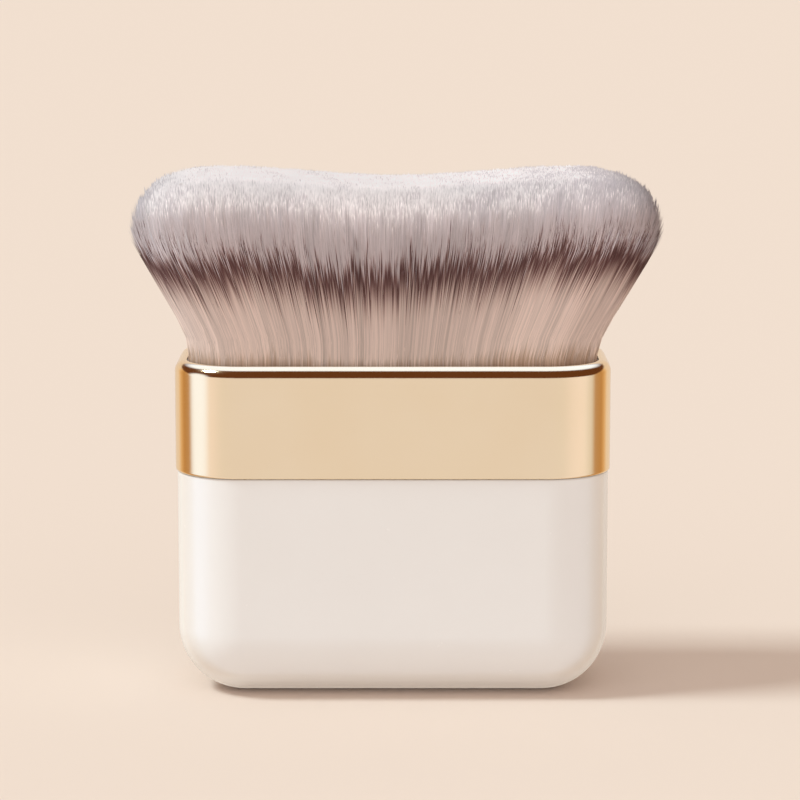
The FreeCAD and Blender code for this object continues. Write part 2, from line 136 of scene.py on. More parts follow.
def new_nodes(tree, **kinds):
    """Adds nodes to a tree by name."""
    made = []
    for name, kind in kinds.items():
        node = tree.nodes.new(f"ShaderNode{kind}")
        node.name = name
        made.append(node)
    return made


def wear_group():
    """Slow mottling and fine grain, as moulding, plating and handling leave on a surface."""
    tree = bpy.data.node_groups.new("mottle_and_grain", "ShaderNodeTree")
    for socket in ("Mottle Scale", "Grain Scale"):
        tree.interface.new_socket(socket, in_out="INPUT", socket_type="NodeSocketFloat")
    for socket in ("Mottle", "Grain"):
        tree.interface.new_socket(socket, in_out="OUTPUT", socket_type="NodeSocketFloat")
    given = tree.nodes.new("NodeGroupInput")
    out = tree.nodes.new("NodeGroupOutput")
    place, slow, fine = new_nodes(tree, place="TexCoord", slow="TexNoise", fine="TexNoise")
    slow.inputs["Detail"].default_value = MOTTLE_DETAIL
    fine.inputs["Detail"].default_value = GRAIN_DETAIL
    for noise, scale, result in ((slow, "Mottle Scale", "Mottle"), (fine, "Grain Scale", "Grain")):
        tree.links.new(place.outputs["Object"], noise.inputs["Vector"])
        tree.links.new(given.outputs[scale], noise.inputs["Scale"])
        tree.links.new(noise.outputs["Fac"], out.inputs[result])
    return tree


MOTTLE_AND_GRAIN = wear_group()


def finish(name, pale, deep, mottle, grain, relief, rough, **constants):
    """A finish between two tones, with a grain in its gloss and its relief; scales are per metre."""
    material = bpy.data.materials.new(name)
    material.use_nodes = True
    tree = material.node_tree
    shader = tree.nodes["Principled BSDF"]
    wear = tree.nodes.new("ShaderNodeGroup")
    wear.node_tree = MOTTLE_AND_GRAIN
    wear.inputs["Mottle Scale"].default_value = mottle
    wear.inputs["Grain Scale"].default_value = grain
    tone, gloss, bump = new_nodes(tree, tone="Mix", gloss="MapRange", bump="Bump")
    tone.data_type = "RGBA"
    tone.inputs["A"].default_value = (*deep, 1)
    tone.inputs["B"].default_value = (*pale, 1)
    gloss.inputs["To Min"].default_value, gloss.inputs["To Max"].default_value = rough
    bump.inputs["Strength"].default_value = RELIEF_STRENGTH
    bump.inputs["Distance"].default_value = relief
    tree.links.new(wear.outputs["Mottle"], tone.inputs["Factor"])
    tree.links.new(tone.outputs["Result"], shader.inputs["Base Color"])
    tree.links.new(wear.outputs["Grain"], gloss.inputs["Value"])
    tree.links.new(gloss.outputs["Result"], shader.inputs["Roughness"])
    tree.links.new(wear.outputs["Grain"], bump.inputs["Height"])
    tree.links.new(bump.outputs["Normal"], shader.inputs["Normal"])
    for socket, value in constants.items():
        shader.inputs[socket.replace("_", " ")].default_value = value
    return material


white_gloss = finish("white_gloss", WHITE_PALE, WHITE_DEEP, mottle=60, grain=900, relief=0.01 * MM,
                     rough=(0.2, 0.3), Coat_Weight=0.5, Coat_Roughness=0.06)

handle = block(handle_low, handle_high)
rim_edges = level_edges(handle, handle_high.z)
round_off(handle, [e for e in handle.edges if e not in rim_edges], HANDLE_EDGE, HANDLE_EDGE_FACETS)
round_off(handle, list(level_face(handle, handle_high.z).edges), RIM_BREAK, RIM_FACETS)
rim_face = level_face(handle, handle_high.z)
bmesh.ops.inset_region(handle, faces=[rim_face], thickness=HANDLE_WALL - RIM_BREAK)
floor_level = handle_low.z + HANDLE_WALL
push(handle, rim_face, floor_level - handle_high.z)
hollow_floor = level_face(handle, floor_level)
round_off(handle, list(hollow_floor.edges), HANDLE_FLOOR_ROUND, HANDLE_FLOOR_FACETS)
pad_low, pad_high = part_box("weight_pad")
fence_level = pad_low.z + FENCE_RISE
room = Vector((WEIGHT_ROOM + FENCE_WALL, WEIGHT_ROOM + FENCE_WALL, 0))
seat = block(Vector((*(pad_low - room).xy, floor_level)), Vector((*(pad_high + room).xy, fence_level)))
fence_face = level_face(seat, fence_level)
bmesh.ops.inset_region(seat, faces=[fence_face], thickness=FENCE_WALL)
push(seat, fence_face, -FENCE_RISE)
take_in(handle, seat)
hard_piece("handle", handle, white_gloss, "white_gloss", "handle_shell")

# Weight pad and balance weight: a foam adhesive pad, and a plain steel bar with its edges broken.
# The pad is stuck to the seat in the handle and the bar is pressed down on it, inside the fence.
FOAM_PALE = (0.30, 0.30, 0.31)
FOAM_DEEP = (0.20, 0.20, 0.21)
STEEL_PALE = (0.56, 0.55, 0.53)
STEEL_DEEP = (0.44, 0.43, 0.42)


def dress(node, material):
    """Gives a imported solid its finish."""
    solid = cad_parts[node]
    solid.data.materials.clear()
    solid.data.materials.append(material)


foam_pad = finish("foam_pad", FOAM_PALE, FOAM_DEEP, mottle=300, grain=2500, relief=0.2 * MM,
                  rough=(0.8, 0.95))
weight_steel = finish("weight_steel", STEEL_PALE, STEEL_DEEP, mottle=250, grain=3000, relief=0.01 * MM,
                      rough=(0.3, 0.5), Metallic=1.0)
dress("weight_pad", foam_pad)
dress("balance_weight", weight_steel)

# Handle plug: a hollow moulding with crossed ribs, in natural white plastic.
# Its snap ridges hold in the mouth of the handle, and its spigot carries the ferrule.
PLASTIC_PALE = (0.78, 0.77, 0.74)
PLASTIC_DEEP = (0.70, 0.69, 0.66)
inner_plastic = finish("inner_plastic", PLASTIC_PALE, PLASTIC_DEEP, mottle=150, grain=1200, relief=0.02 * MM,
                       rough=(0.4, 0.55))
dress("handle_plug", inner_plastic)

# Ferrule: a thin aluminium sleeve, drawn in one piece, polished and anodised gold.
# Its top is rolled inwards to a lip round the mouth, and its foot sits on the rim of the handle.
FERRULE_CORNER = 9.45 * MM
FERRULE_CORNER_FACETS = 24
FERRULE_WALL = 0.9 * MM
LIP_ROUND = 1.5 * MM
LIP_FACETS = 12
LIP_LAND = 0.15 * MM
FOOT_BREAK = 0.35 * MM
FOOT_FACETS = 3
GOLD_PALE = (0.93, 0.72, 0.47)
GOLD_DEEP = (0.90, 0.67, 0.41)
ferrule_low, ferrule_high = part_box("ferrule")

gold = finish("gold_aluminium", GOLD_PALE, GOLD_DEEP, mottle=90, grain=1500, relief=0.004 * MM,
              rough=(0.1, 0.17), Metallic=1.0)

ferrule = block(ferrule_low, ferrule_high)
flat_edges = level_edges(ferrule, ferrule_low.z) + level_edges(ferrule, ferrule_high.z)
round_off(ferrule, [e for e in ferrule.edges if e not in flat_edges], FERRULE_CORNER, FERRULE_CORNER_FACETS)
round_off(ferrule, list(level_face(ferrule, ferrule_high.z).edges), LIP_ROUND, LIP_FACETS)
round_off(ferrule, list(level_face(ferrule, ferrule_low.z).edges), FOOT_BREAK, FOOT_FACETS)
mouth_face = level_face(ferrule, ferrule_high.z)
bmesh.ops.inset_region(ferrule, faces=[mouth_face], thickness=LIP_LAND)
bmesh.ops.delete(ferrule, geom=[mouth_face, level_face(ferrule, ferrule_low.z)], context="FACES")
bmesh.ops.recalc_face_normals(ferrule, faces=ferrule.faces)
bmesh.ops.solidify(ferrule, geom=ferrule.faces[:], thickness=FERRULE_WALL)
hard_piece("ferrule", ferrule, gold, "gold_aluminium", "ferrule")

# Tuft cup, resin and band: the tray that the fibre roots are glued into, and the tape that binds them.
# The cup fills the ferrule up to its lip, and the resin is poured in before the bound roots are pressed home.
RESIN_PALE = (0.62, 0.48, 0.26)
RESIN_DEEP = (0.50, 0.36, 0.17)
BAND_PALE = (0.74, 0.68, 0.58)
BAND_DEEP = (0.62, 0.55, 0.45)
cured_resin = finish("cured_resin", RESIN_PALE, RESIN_DEEP, mottle=200, grain=900, relief=0.02 * MM,
                     rough=(0.15, 0.3))
binding_band = finish("binding_band", BAND_PALE, BAND_DEEP, mottle=300, grain=2200, relief=0.05 * MM,
                      rough=(0.6, 0.8))
dress("tuft_cup", inner_plastic)
dress("root_resin", cured_resin)
dress("root_band", binding_band)

# Bristle tuft: tens of thousands of fine synthetic fibres, bound at the root and fanned out above the lip.
# Each is dyed beige at its foot, then brown-mauve, with a bleached tip; the trim leaves a soft saddle.
# Below the tip the bleached colour is greyed with painted shade between the fibres, and near the lip it is
# darkened with painted shade.
# Sizes are in millimetres here. A pair of measures is one for the imported middle, and what the loose rim adds.
ROOT_HALF_X = 28.3
ROOT_HALF_Y = 13.3
ROOT_CORNER = 7.5
ROOT_LEVEL = 43.0
FAN_LEVELS = (47.5, 48.6, 51.2, 54.5, 57.9, 61.3, 63.8, 65.5, 72.0)
FAN_SCALES = (1.0, 1.004, 1.038, 1.107, 1.170, 1.237, 1.284, 1.300, 1.316)
FAN_LEAN = 0.5
CROWN_TOP = 72.25
SADDLE_DIP = 1.25
SADDLE_REACH = 19.0
END_EDGE, END_FALL = 8.8, 7.4
FRONT_EDGE, FRONT_FALL = 7.6, 5.4
SLOPE_STEP = 0.05
FIBRES = 104000
FIBRE_RADIUS = 0.075
FIBRE_CORNERS = (330, 210, 90)
FIBRE_WIDTH_UV = 0.03
FIBRE_ROUGHNESS = 0.55
FIBRE_SPECULAR = 0.25
MERGE_WITHIN = 1e-7
SIDE_DEPTH = 1.0
FRINGE_DEPTH = 5.0
CLUMP_CELL = 0.8
CLUMP_RAGGED = 0.12
CLUMP_AIM = (0.2, 0.8)
CLUMP_PULL = (0.04, 0.16)
CLUMP_LEAN = (0.04, 0.1)
CLUMP_GROWTH = (0.06, 0.1)
FIBRE_GROWTH = (0.09, 0.3)
FIBRE_STRAY = 0.1
TRIM_UNEVEN = 1.9
TRIM_MOST = 6.0
TRIM_DEPTH = 2.6
SIDE_FACING = 4.0
END_TURN = 0.6
# Tone along the brush: its level is the fibres' own, but the darker middle is painted shade and the lighter
# right end is painted light.
TONE_AND_LIGHT_AT, TONES_AND_PAINTED_LIGHT = (-24, -6, 6, 24), (0.66, 0.43, 0.43, 0.74)
# Painted light on the crown: the top fibres get a lighter tone than the sides, lighter still towards the right
# end.
CROWN_LIGHT_AT, CROWN_PAINTED_LIGHT = (0, 24), (0.86, 1.05)
CROWN_LIGHT_REACH = 0.4
CLUMP_TONE = 0.34
FIBRE_TONE = 0.5
TONE_VARIES = (0.3, 0.7)
SHADE_RANGE = (0.6, 1.14)
DYE_SPAN = 30.0
# Colours along the fibre from its tip, in mm: the bleached tip greys within a millimetre as painted shade
# between the fibres, then come the beige, brown-mauve and beige bands of dye.
DYE_AND_PAINTED_SHADE_STOPS = (
    (0.0, (0.97, 0.86, 0.845)),
    (0.25, (0.80, 0.69, 0.685)),
    (0.9, (0.65, 0.55, 0.555)),
    (2.2, (0.63, 0.535, 0.55)),
    (3.7, (0.62, 0.515, 0.525)),
    (4.7, (0.32, 0.20, 0.19)),
    (5.5, (0.13, 0.058, 0.055)),
    (6.4, (0.115, 0.048, 0.044)),
    (7.3, (0.175, 0.085, 0.077)),
    (8.8, (0.41, 0.27, 0.24)),
    (10.4, (0.66, 0.49, 0.435)),
    (12.2, (0.80, 0.62, 0.555)),
    (20.5, (0.84, 0.66, 0.58)),
    # The last two stops are painted shade near the lip, reached only through the push near the root.
    (23.5, (0.62, 0.44, 0.34)),
    (28.0, (0.40, 0.23, 0.14)),
)
DYE_AT, DYE_SHIFTS = (-28, -24, -20, 0, 18, 28), (1.6, -0.6, -1.3, -1.4, 0.2, 1.8)
DYE_PATCH = 0.45
DYE_WAVES = 14
DYE_WAVE_LONGEST, DYE_WAVE_SHORTEST = 7.0, 2.0
DYE_FIBRE = 0.8
DYE_TRIM = 0.6
# Painted shade just above the lip: below this level each fibre's place on the ramp is pushed towards its
# darkened end.
ROOT_PAINTED_SHADE = 7.0
PAINTED_SHADE_TOP = 49.2
PAINTED_SHADE_RISE = 4.0
SIDE_STEPS, SIDE_TAPER = np.array((0.0, 0.1, 0.2, 0.32, 0.46, 0.62, 0.82, 1.0)), (0, 1, 1, 1, 1, 1, 0.85, 0)
FRINGE_STEPS, FRINGE_TAPER = np.array((-11.0, -5.0, -0.5, 0.0)), (0, 1, 0.85, 0)
CROWN_STEPS, CROWN_TAPER = np.array((-4.5, -0.25, 0.0)), (0, 1, 0)
SIDE_PIECES, FRINGE_PIECES, CROWN_PIECES = 3, 3, 2
rng = np.random.default_rng(11)


def section_depth(x, y):
    """How far a root lies in from the outline of the bound bundle."""
    over_x = np.abs(x) - (ROOT_HALF_X - ROOT_CORNER)
    over_y = np.abs(y) - (ROOT_HALF_Y - ROOT_CORNER)
    corner = np.hypot(np.maximum(over_x, 0), np.maximum(over_y, 0))
    return ROOT_CORNER - corner - np.minimum(np.maximum(over_x, over_y), 0)


def crown_level(x, y):
    """Where the trim cuts the fibre that grows from a root: a saddle along the crown, rounded all round."""
    along = np.clip(np.abs(x) / SADDLE_REACH, 0, 1)
    ridge = CROWN_TOP - SADDLE_DIP * (0.5 + 0.5 * np.cos(np.pi * along))
    end = np.clip(1 - (ROOT_HALF_X - np.abs(x)) / END_EDGE, 0, 1) ** 2
    front = np.clip(1 - (ROOT_HALF_Y - np.abs(y)) / FRONT_EDGE, 0, 1) ** 2
    fall = (END_FALL * end + FRONT_FALL * front) / np.maximum(end + front, TINY)
    return ridge - fall * (1 - np.sqrt(1 - np.minimum(end + front, 1)))


def fan(level):
    """How much wider the fan is at a level than at the mouth."""
    return np.interp(level, FAN_LEVELS, FAN_SCALES)


def set_ramp(ramp, stops, low, high):
    """Sets the colours of a ramp at given values between two ends."""
    for element, (value, colour) in zip((ramp.elements[0], ramp.elements[1]), (stops[0], stops[-1])):
        element.position = (value - low) / (high - low)
        element.color = (*colour, 1)
    for value, colour in stops[1:-1]:
        ramp.elements.new((value - low) / (high - low)).color = (*colour, 1)


def dyed_fibre():
    """Fibre dyed in bands from its tip, with painted shade below the bleached tip and near the root. The map
    runs along the fibre, and across it from tone to tone.
    """
    material = bpy.data.materials.new("dyed_fibre")
    material.use_nodes = True
    tree = material.node_tree
    shader = tree.nodes["Principled BSDF"]
    shader.inputs["Roughness"].default_value = FIBRE_ROUGHNESS
    shader.inputs["Specular IOR Level"].default_value = FIBRE_SPECULAR
    place, split, dye, shade, tint = new_nodes(
        tree, place="UVMap", split="SeparateXYZ", dye="ValToRGB", shade="MapRange", tint="Mix")
    place.uv_map = "OFBake"
    set_ramp(dye.color_ramp, DYE_AND_PAINTED_SHADE_STOPS, 0, DYE_SPAN)
    shade.inputs["To Min"].default_value, shade.inputs["To Max"].default_value = SHADE_RANGE
    tint.data_type = "RGBA"
    tint.blend_type = "MULTIPLY"
    tint.inputs["Factor"].default_value = 1
    links = tree.links
    links.new(place.outputs["UV"], split.inputs["Vector"])
    links.new(split.outputs["Y"], dye.inputs["Fac"])
    links.new(split.outputs["X"], shade.inputs["Value"])
    links.new(dye.outputs["Color"], tint.inputs["A"])
    links.new(shade.outputs["Result"], tint.inputs["B"])
    links.new(tint.outputs["Result"], shader.inputs["Base Color"])
    return material


fibre = dyed_fibre()
section = bpy.data.curves.new("fibre_section", "CURVE")
section.dimensions = "2D"
corners = section.splines.new("POLY")
corners.points.add(len(FIBRE_CORNERS) - 1)
for point, angle in zip(corners.points, FIBRE_CORNERS):
    point.co = (MM * math.cos(math.radians(angle)), MM * math.sin(math.radians(angle)), 0, 1)
corners.use_cyclic_u = True
section_curve = bpy.data.objects.new("fibre_section", section)
scene.collection.objects.link(section_curve)


def draw_threads(name, paths, radii):
    """Draws three-sided threads along their paths, from root to tip, as one mesh."""
    count, steps, _ = paths.shape
    curve = bpy.data.curves.new(name, "CURVE")
    curve.dimensions = "3D"
    curve.bevel_mode = "OBJECT"
    curve.bevel_object = section_curve
    points = np.ones((count, steps, 4), np.float32)
    points[..., :3] = paths * MM
    for path, radius in zip(points, radii.astype(np.float32)):
        spline = curve.splines.new("POLY")
        spline.points.add(steps - 1)
        spline.points.foreach_set("co", path.ravel())
        spline.points.foreach_set("radius", radius)
    drawn = bpy.data.objects.new(name, curve)
    scene.collection.objects.link(drawn)
    mesh = bpy.data.meshes.new_from_object(drawn.evaluated_get(bpy.context.evaluated_depsgraph_get()))
    bpy.data.objects.remove(drawn)
    bpy.data.curves.remove(curve)
    return mesh


def map_dye(mesh, paths, tones, shifts):
    """Lays the dye map on drawn threads: the tone across, and the way from the tip along, pushed further near
    the root as painted shade from the lip.
    """
    count, steps, _ = paths.shape
    sides = len(FIBRE_CORNERS)
    lengths = np.linalg.norm(np.diff(paths, axis=1), axis=2)
    from_tip = np.zeros((count, steps))
    from_tip[:, :-1] = np.cumsum(lengths[:, ::-1], axis=1)[:, ::-1]
    # Painted shade from the lip, added to the place on the ramp near the root.
    lip_shade = ROOT_PAINTED_SHADE * np.clip((PAINTED_SHADE_TOP - paths[..., 2]) / PAINTED_SHADE_RISE, 0, 1)
    dyed = np.clip((from_tip + shifts[:, None] + lip_shade) / DYE_SPAN, 0, 1)
    width = np.arange(sides) / (sides - 1) * FIBRE_WIDTH_UV
    across = tones[:, None, None] * (1 - FIBRE_WIDTH_UV) + np.broadcast_to(width, (count, steps, sides))
    along = np.broadcast_to(dyed[..., None], (count, steps, sides))
    places = np.stack((across, along), axis=-1).reshape(-1, 2)
    corner_verts = np.empty(len(mesh.loops), np.int32)
    mesh.loops.foreach_get("vertex_index", corner_verts)
    mesh.uv_layers[0].name = "OFBake"
    mesh.uv_layers[0].uv.foreach_set("vector", places[corner_verts].astype(np.float32).ravel())


def comb(name, paths, facing, radii, tones, shifts):
    """Makes many fibres one piece, each a closed thread.
    It is shaded by the way the whole tuft faces there, as a dense bundle of translucent fibres is."""
    mesh = draw_threads(name, paths, radii)
    map_dye(mesh, paths, tones, shifts)
    ways = mesh.attributes.new("facing", "FLOAT_VECTOR", "POINT")
    facing_all = np.repeat(facing, len(FIBRE_CORNERS), axis=1)
    ways.data.foreach_set("vector", facing_all.astype(np.float32).ravel())
    threads = bmesh.new()
    threads.from_mesh(mesh)
    bmesh.ops.remove_doubles(threads, verts=threads.verts, dist=MERGE_WITHIN)
    threads.to_mesh(mesh)
    threads.free()
    mesh.name = name
    mesh.materials.clear()
    mesh.shade_smooth()
    normals = np.empty((len(mesh.vertices), 3), np.float32)
    mesh.attributes["facing"].data.foreach_get("vector", normals.ravel())
    mesh.attributes.remove(mesh.attributes["facing"])
    mesh.normals_split_custom_set_from_vertices(normals)
    piece = set_piece(name, mesh, fibre, "fibre", "bristle_tuft")
    piece.visible_shadow = False
    piece.visible_diffuse = False
    piece.visible_glossy = False


spread = rng.uniform(-1, 1, (FIBRES * 2, 2)) * (ROOT_HALF_X, ROOT_HALF_Y)
spread = spread[section_depth(*spread.T) > 0][:FIBRES]
count = len(spread)
depth = section_depth(*spread.T)
looseness = np.clip(1 - (depth - SIDE_DEPTH) / FRINGE_DEPTH, 0, 1)


def loosened(packed, added):
    """A measure for each fibre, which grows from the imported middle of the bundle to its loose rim."""
    return packed + added * looseness


cell = np.floor(spread / CLUMP_CELL + rng.normal(0, CLUMP_RAGGED, spread.shape)).astype(int)
cells, clump = np.unique(cell, axis=0, return_inverse=True)
clump = clump.ravel()
clump_centre = cells + rng.uniform(*CLUMP_AIM, cells.shape)
clump_lean = rng.normal(0, 1, cells.shape)
clump_grow = rng.normal(0, 1, len(cells))
clump_tone = rng.uniform(0, 1, len(cells))
growth = clump_grow[clump] * loosened(*CLUMP_GROWTH) + rng.normal(0, 1, count) * loosened(*FIBRE_GROWTH)
trimmed = np.minimum(rng.exponential(TRIM_UNEVEN, count), TRIM_MOST)
trimmed *= np.clip(1 - depth / TRIM_DEPTH, 0, 1)
crown_at = crown_level(*spread.T)
tip_level = crown_at + growth - trimmed
stray = (clump_centre[clump] * CLUMP_CELL - spread) * loosened(*CLUMP_PULL)[:, None] * FAN_SCALES[-1]
stray += clump_lean[clump] * loosened(*CLUMP_LEAN)[:, None] + rng.normal(0, FIBRE_STRAY, stray.shape)
# Each fibre's tone: painted shade in the middle and painted light at the right end and on the crown, with real
# tone differing at random by clump and by fibre.
tone = np.interp(spread[:, 0], TONE_AND_LIGHT_AT, TONES_AND_PAINTED_LIGHT)
crown_painted_light = np.interp(spread[:, 0], CROWN_LIGHT_AT, CROWN_PAINTED_LIGHT)
tone += (crown_painted_light - tone) * np.clip(1 - looseness / CROWN_LIGHT_REACH, 0, 1)
mixed = CLUMP_TONE * (clump_tone[clump] - 0.5) + FIBRE_TONE * (rng.uniform(0, 1, count) - 0.5)
tone += mixed * loosened(*TONE_VARIES)


def patches(places, waves, longest, shortest):
    """A slow, even wander over the roots, about one in size."""
    turn = rng.uniform(0, 2 * np.pi, waves)
    pace = 2 * np.pi / rng.uniform(shortest, longest, waves)
    ways = np.stack((np.cos(turn), np.sin(turn))) * pace
    return np.cos(places @ ways + rng.uniform(0, 2 * np.pi, waves)).sum(axis=1) * np.sqrt(2 / waves)


dye_shift = np.interp(spread[:, 0], DYE_AT, DYE_SHIFTS)
dye_shift += DYE_PATCH * patches(spread, DYE_WAVES, DYE_WAVE_LONGEST, DYE_WAVE_SHORTEST)
dye_shift += rng.normal(0, DYE_FIBRE, count) + DYE_TRIM * trimmed


def outward(places):
    """The way the tuft faces at the tips, and at its sides, above some roots."""
    x, y = places.T
    step = SLOPE_STEP
    run = 2 * step * FAN_SCALES[-1]
    across = (crown_level(x + step, y) - crown_level(x - step, y)) / run
    back = (crown_level(x, y + step) - crown_level(x, y - step)) / run
    tips = np.stack((-across, -back, np.ones(len(x))), axis=1)
    side_x = section_depth(x - step, y) - section_depth(x + step, y)
    side_y = section_depth(x, y - step) - section_depth(x, y + step)
    sides = np.stack((side_x * END_TURN, side_y, np.zeros(len(x))), axis=1)
    return [way / np.linalg.norm(way, axis=1, keepdims=True) for way in (tips, sides)]


tip_facing, side_facing = outward(spread)


def paths_of(chosen, levels):
    """The course of some fibres through given levels, from root to tip, and the way the tuft faces there."""
    tips = tip_level[chosen, None]
    rise = np.clip((levels - FAN_LEVELS[0]) / (tips - FAN_LEVELS[0]), 0, 1)
    course = spread[chosen, None, :] * fan(levels)[..., None]
    course += stray[chosen, None, :] * (rise ** 2)[..., None]
    course[..., 0] += FAN_LEAN * np.sqrt(rise)
    below = np.clip((crown_at[chosen, None] - levels) / SIDE_FACING, 0, 1)
    sideways = (below * looseness[chosen, None])[..., None]
    facing = tip_facing[chosen, None, :] * (1 - sideways) + side_facing[chosen, None, :] * sideways
    facing /= np.linalg.norm(facing, axis=2, keepdims=True)
    return np.concatenate((course, levels[..., None]), axis=2), facing


def lay_bristles(name, chosen, order, levels, taper, pieces):
    """Lays one kind of fibre as a few pieces, side by side along the brush."""
    chosen = chosen[np.argsort(order[chosen])]
    for number, batch in enumerate(np.array_split(chosen, pieces), 1):
        heights = levels(tip_level[batch, None])
        thickness = np.broadcast_to(np.array(taper) * FIBRE_RADIUS, heights.shape)
        comb(f"{name}_{number}", *paths_of(batch, heights), thickness, tone[batch], dye_shift[batch])


bearing = np.arctan2(spread[:, 1] * 2, spread[:, 0])
at_side = np.flatnonzero(depth < SIDE_DEPTH)
in_fringe = np.flatnonzero((depth >= SIDE_DEPTH) & (depth < SIDE_DEPTH + FRINGE_DEPTH))
in_crown = np.flatnonzero(depth >= SIDE_DEPTH + FRINGE_DEPTH)
lay_bristles("side_bristles", at_side, bearing, lambda tip: ROOT_LEVEL + (tip - ROOT_LEVEL) * SIDE_STEPS,
             SIDE_TAPER, SIDE_PIECES)
lay_bristles("fringe_bristles", in_fringe, bearing, lambda tip: tip + FRINGE_STEPS,
             FRINGE_TAPER, FRINGE_PIECES)
lay_bristles("crown_bristles", in_crown, spread[:, 0], lambda tip: tip + CROWN_STEPS,
             CROWN_TAPER, CROWN_PIECES)
bpy.data.objects.remove(section_curve)

# Bristle core: the imported mass of fibres inside the tuft, which closes the gaps between the outer ones.
# It stands a little inside them, carries the same three bands of dye with the same painted shade, and throws
# the tuft's shadow.
CORE_INSET = 1.0
CORE_FACETS = 8
CORE_CUTS = 20
CORE_CELL = 1.6
CORE_WAIST = 3.2
CORE_WAIST_LEVELS = (49.0, 58.0)
CORE_DROP = 0.5
CORE_RIM_DROP = 1.0
CORE_RIM = 4.0
CORE_TONE, CORE_TONE_VARIES = 0.3, 0.4
CORE_TONE_X, CORE_TONE_Y = 3.7, 5.3


def upright_edges(bm):
    """The edges that run from the foot of a block to its top."""
    return [e for e in bm.edges if abs(e.verts[0].co.z - e.verts[1].co.z) > 0.5]


core_half = Vector((ROOT_HALF_X - CORE_INSET, ROOT_HALF_Y - CORE_INSET, 0))
core = block(-core_half, core_half + Vector((0, 0, 1)))
round_off(core, upright_edges(core), ROOT_CORNER - CORE_INSET, CORE_FACETS)
bmesh.ops.subdivide_edges(core, edges=upright_edges(core), cuts=CORE_CUTS, use_grid_fill=True)
for half, axis in ((ROOT_HALF_X, Vector((1, 0, 0))), (ROOT_HALF_Y, Vector((0, 1, 0)))):
    for at in np.arange(CORE_CELL / 2 - half, half, CORE_CELL):
        everything = core.verts[:] + core.edges[:] + core.faces[:]
        bmesh.ops.bisect_plane(core, geom=everything, plane_co=axis * float(at), plane_no=axis)
core_map = core.loops.layers.uv.new("OFBake")
core_dye = {}
for vert in core.verts:
    x, y, share = vert.co
    tip = float(crown_level(x, y))
    rim_share = max(1 - float(section_depth(x, y) - CORE_INSET) / CORE_RIM, 0) ** 2
    level = ROOT_LEVEL + share * (tip - CORE_DROP - CORE_RIM_DROP * rim_share - ROOT_LEVEL)
    waist = (CORE_WAIST - CORE_INSET) * float(np.interp(level, CORE_WAIST_LEVELS, (0, 1)))
    wide = float(fan(level))
    core_tone = CORE_TONE + CORE_TONE_VARIES * math.sin(CORE_TONE_X * x + CORE_TONE_Y * y) ** 2
    core_dye[vert] = (core_tone, max(tip - level, 0) / DYE_SPAN)
    rise = min(max((level - FAN_LEVELS[0]) / (tip - FAN_LEVELS[0]), 0), 1)
    across = x * wide * (1 - waist / ROOT_HALF_X) + FAN_LEAN * math.sqrt(rise)
    back = y * wide * (1 - waist / ROOT_HALF_Y)
    vert.co = Vector((across, back, level)) * MM
for face in core.faces:
    for corner in face.loops:
        corner[core_map].uv = core_dye[corner.vert]
bmesh.ops.recalc_face_normals(core, faces=core.faces)
core_mesh = bpy.data.meshes.new("bristle_core")
core.to_mesh(core_mesh)
core.free()
core_mesh.shade_smooth()
packed_core = set_piece("bristle_core", core_mesh, fibre, "fibre", "bristle_tuft")
packed_core.visible_glossy = False

# Floor: one wide sheet of warm cream paper under the brush.
# It runs far past the frame, so that it also makes the background.
FLOOR_HALF = 9.0
FLOOR_COLOUR = (0.78, 0.65, 0.56)
paper = bmesh.new()
bmesh.ops.create_grid(paper, x_segments=1, y_segments=1, size=FLOOR_HALF)
paper_mesh = bpy.data.meshes.new("floor")
paper.to_mesh(paper_mesh)
paper.free()
floor = bpy.data.objects.new("floor", paper_mesh)
scene.collection.objects.link(floor)
floor.visible_glossy = False
cream = bpy.data.materials.new("cream_paper")
cream.use_nodes = True
cream_shader = cream.node_tree.nodes["Principled BSDF"]
cream_shader.inputs["Base Color"].default_value = (*FLOOR_COLOUR, 1)
cream_shader.inputs["Roughness"].default_value = 1.0
cream_shader.inputs["Specular IOR Level"].default_value = 0.0
paper_mesh.materials.append(cream)

# Studio light: a soft key from the left, a wide weak fill from the front, and an even warm room.
# Polished metal sees bright paper in front and behind, dark gaps at the sides and a dark ceiling,
# with one softbox at the left and one overhead.
KEY_FROM = Vector((-0.62, -0.11, 0.775))
KEY_COLOUR = (0.80, 0.95, 1.0)
KEY_STRENGTH = 2.05
KEY_ANGLE = 16.0
FILL_FROM = Vector((-0.05, -0.92, 0.38))
FILL_COLOUR = (0.95, 0.97, 1.0)
FILL_STRENGTH = 0.62
FILL_ANGLE = 90.0
ROOM_COLOUR = (0.65, 0.58, 0.53)
BACKGROUND = (0.85, 0.715, 0.60)
ROUND_STOPS = (
    (-1.0, (0.82, 0.70, 0.58)),
    (-0.75, (0.88, 0.76, 0.62)),
    (-0.62, (0.80, 0.53, 0.26)),
    (-0.45, (0.56, 0.31, 0.11)),
    (-0.15, (0.56, 0.36, 0.19)),
    (0.0, (0.80, 0.80, 0.80)),
    (0.25, (0.98, 0.98, 1.06)),
    (0.45, (1.0, 0.99, 1.08)),
    (0.65, (0.96, 0.95, 1.03)),
    (0.85, (0.87, 0.88, 0.94)),
    (1.0, (0.86, 0.87, 0.945)),
)
CEILING_COLOUR = (0.13, 0.046, 0.014)
CEILING_BLUR = 0.06
BACKDROP_RISE = 0.4
SIDE_BOX = ((-0.982, -0.19, 0.0), 0.90, 0.988, (1.10, 1.32, 1.75))
TOP_BOX = ((0.0, 0.47, 0.88), 0.72, 0.86, (1.12, 1.40, 1.95))


